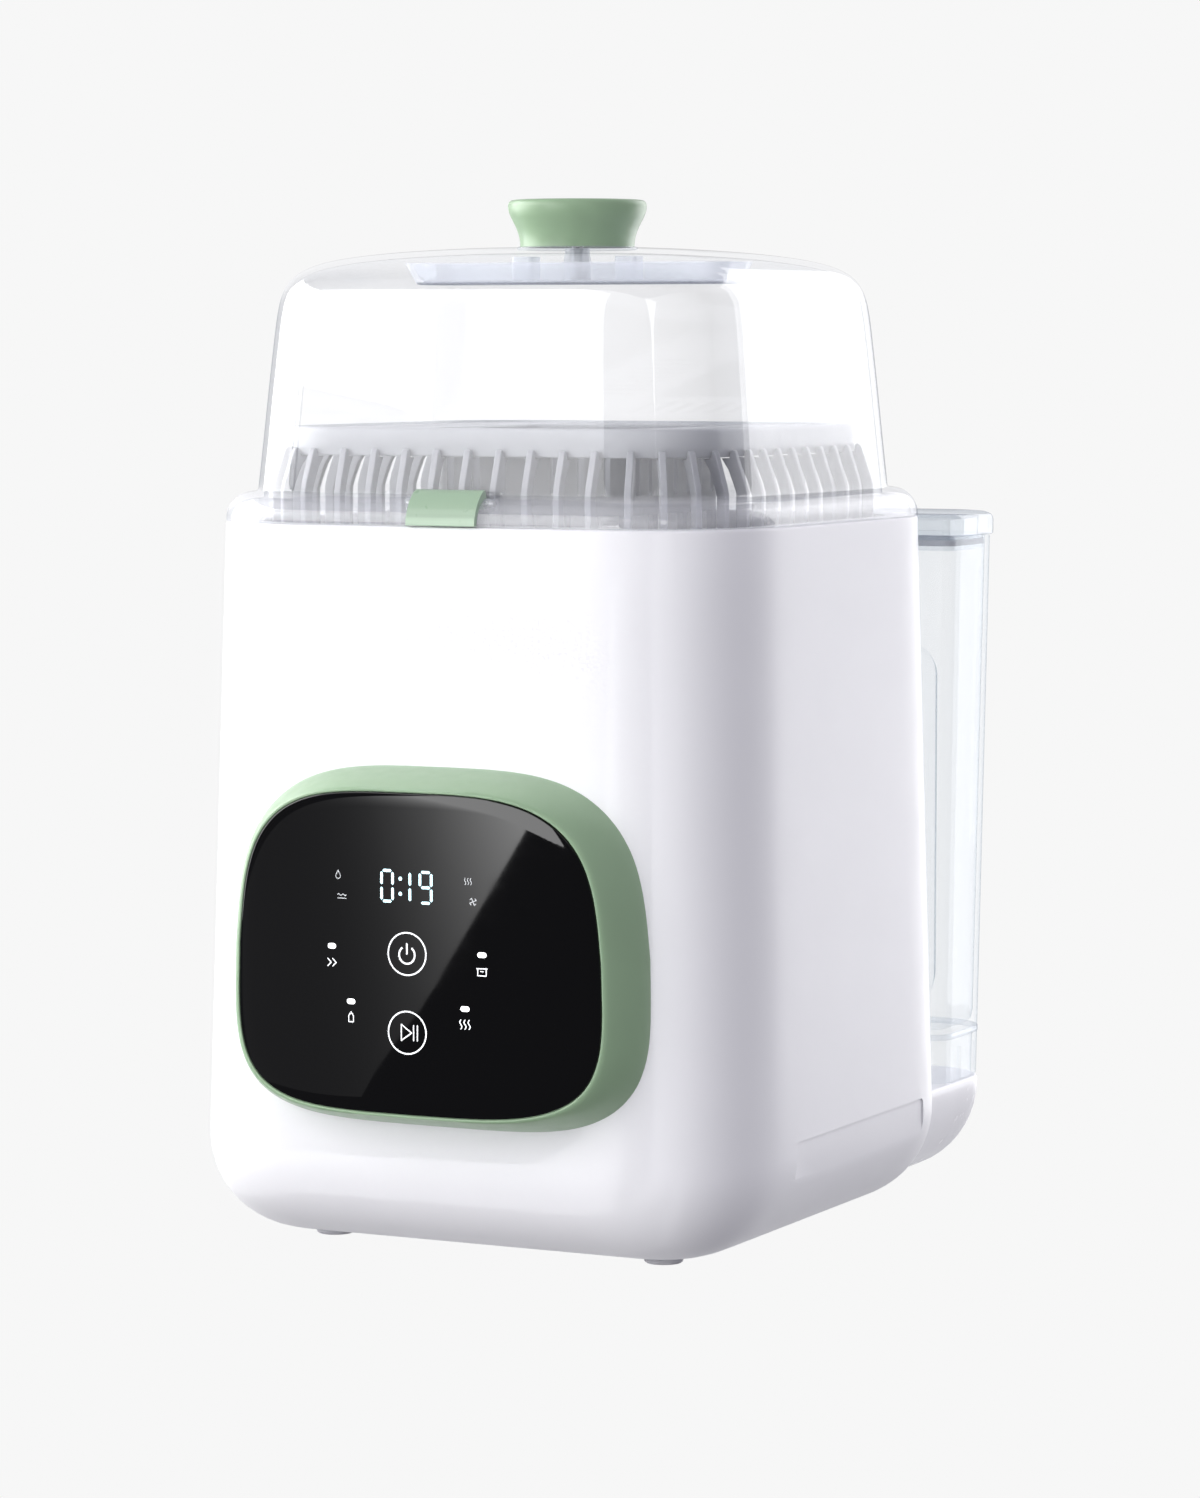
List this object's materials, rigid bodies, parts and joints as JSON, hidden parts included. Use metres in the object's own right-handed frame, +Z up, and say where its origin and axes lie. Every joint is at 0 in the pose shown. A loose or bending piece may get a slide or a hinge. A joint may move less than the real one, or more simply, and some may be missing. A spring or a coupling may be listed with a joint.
{
  "type": "bottle sterilizer",
  "caption": "Countertop baby bottle washer, steam sterilizer and dryer with a clear lid and knob, crowned touch panel, bottle rack, accessory tray and rear water tanks.",
  "frame": {"origin": "centre of the bounding box's bottom face, on the table under the feet", "axes": "+Z up, +X to the right seen from the front, +Y from the control panel towards the tanks"},
  "size_m": [0.2548, 0.3402, 0.43],
  "materials": {
    "white_shell": "satin gloss white",
    "dock_white": "satin gloss white",
    "pale_plastic": "matt",
    "foot_rubber": "matt",
    "sage_plastic": "satin",
    "latch_green": "satin",
    "black_glass": "polished black",
    "clear_lid": "clear moulded plastic",
    "clear_tank": "clear moulded plastic",
    "clear_seal": "clear silicone",
    "grey_rack": "satin",
    "light_grey": "satin",
    "steel": "plain",
    "dark_plastic": "moulded",
    "board_green": "laminate",
    "ivory_plastic": "moulded",
    "ceramic_core": "fired",
    "filter_felt": "pleated felt",
    "silicone": "matt",
    "brass": "plain"
  },
  "bodies": {
    "base": {"housing": "white_shell", "back_column": "dock_white", "base_plate": "pale_plastic", "rubber_feet": "foot_rubber", "base_screws": "steel", "control_bezel": "sage_plastic", "control_glass": "black_glass", "display_board": "board_green", "touch_springs": "steel", "wash_basin": "white_shell", "steam_heater": "steel", "spray_manifold": "light_grey", "spray_nozzles": "light_grey", "wash_pump_case": "dark_plastic", "wash_pump_motor": "steel", "drain_pump_case": "dark_plastic", "drain_pump_motor": "steel", "blower_case": "dark_plastic", "blower_motor": "steel", "air_heater": "ceramic_core", "air_duct": "pale_plastic", "air_filter": "filter_felt", "filter_door_pin": "steel", "main_board": "board_green", "board_parts": "dark_plastic", "power_inlet": "dark_plastic", "inlet_pins": "brass", "supply_hose": "silicone", "drain_hose": "silicone", "clean_dock_seat": "silicone", "waste_dock_seat": "silicone"},
    "lid": {"lid_dome": "clear_lid", "lid_gasket": "clear_seal", "lid_knob": "sage_plastic", "knob_screw": "steel", "steam_baffle": "clear_lid", "latch_pin": "steel"},
    "latch": {"lid_latch": "latch_green"},
    "rack": {"rack_front": "grey_rack", "rack_right": "grey_rack", "rack_back": "grey_rack", "rack_left": "grey_rack", "rack_floor": "light_grey", "rack_feet": "light_grey", "bottle_pegs": "light_grey"},
    "tray": {"accessory_tray": "light_grey"},
    "basket": {"parts_basket": "grey_rack"},
    "filter": {"sump_filter": "grey_rack"},
    "wash_wheel": {"wash_impeller": "ivory_plastic"},
    "drain_wheel": {"drain_impeller": "ivory_plastic"},
    "fan_wheel": {"blower_wheel": "ivory_plastic"},
    "door": {"filter_door": "dock_white"},
    "clean_tank_body": {"clean_tank": "clear_tank", "clean_valve_cap": "pale_plastic"},
    "clean_valve_stem": {"clean_valve": "pale_plastic"},
    "clean_cover": {"clean_tank_lid": "clear_tank", "clean_lid_seal": "silicone"},
    "waste_tank_body": {"waste_tank": "clear_tank", "waste_valve_cap": "pale_plastic"},
    "waste_valve_stem": {"waste_valve": "pale_plastic"},
    "waste_cover": {"waste_tank_lid": "clear_tank", "waste_lid_seal": "silicone"}
  },
  "joints": [
    {"name": "lid_lift", "type": "slide", "parent": "base", "child": "lid", "axis": [0, 0, 1], "range_m": [0, 0.24]},
    {"name": "latch_swing", "type": "hinge", "parent": "lid", "child": "latch", "pos_m": [0, -0.1323, 0.3066], "axis": [-1, 0, 0], "range_deg": [0, 30]},
    {"name": "rack_lift", "type": "slide", "parent": "base", "child": "rack", "axis": [0, 0, 1], "range_m": [0, 0.02]},
    {"name": "tray_lift", "type": "slide", "parent": "rack", "child": "tray", "axis": [0, 0, 1], "range_m": [0, 0.018]},
    {"name": "basket_lift", "type": "slide", "parent": "tray", "child": "basket", "axis": [0, 0, 1], "range_m": [0, 0.015]},
    {"name": "sump_filter_lift", "type": "slide", "parent": "base", "child": "filter", "axis": [0, 0, 1], "range_m": [0, 0.012]},
    {"name": "wash_wheel_spin", "type": "hinge", "parent": "base", "child": "wash_wheel", "pos_m": [-0.048, -0.0531, 0.058], "axis": [0, 0, 1], "continuous": true},
    {"name": "drain_wheel_spin", "type": "hinge", "parent": "base", "child": "drain_wheel", "pos_m": [0.044, -0.0711, 0.052], "axis": [0, 0, 1], "continuous": true},
    {"name": "fan_wheel_spin", "type": "hinge", "parent": "base", "child": "fan_wheel", "pos_m": [0.05, 0.0249, 0.055], "axis": [0, 0, 1], "continuous": true},
    {"name": "filter_door_swing", "type": "hinge", "parent": "base", "child": "door", "pos_m": [0, 0.15765, 0.175], "axis": [-1, 0, 0], "range_deg": [0, 90]},
    {"name": "clean_tank_lift", "type": "slide", "parent": "base", "child": "clean_tank_body", "axis": [0, 0, 1], "range_m": [0, 0.2]},
    {"name": "clean_valve_push", "type": "slide", "parent": "clean_tank_body", "child": "clean_valve_stem", "axis": [0, 0, 1], "range_m": [0, 0.003], "stiffness_N_per_m": 400, "springref_m": -0.002},
    {"name": "clean_cover_lift", "type": "slide", "parent": "clean_tank_body", "child": "clean_cover", "axis": [0, 0, 1], "range_m": [0, 0.05]},
    {"name": "waste_tank_lift", "type": "slide", "parent": "base", "child": "waste_tank_body", "axis": [0, 0, 1], "range_m": [0, 0.2]},
    {"name": "waste_valve_push", "type": "slide", "parent": "waste_tank_body", "child": "waste_valve_stem", "axis": [0, 0, 1], "range_m": [0, 0.003], "stiffness_N_per_m": 400, "springref_m": -0.002},
    {"name": "waste_cover_lift", "type": "slide", "parent": "waste_tank_body", "child": "waste_cover", "axis": [0, 0, 1], "range_m": [0, 0.05]}
  ]
}
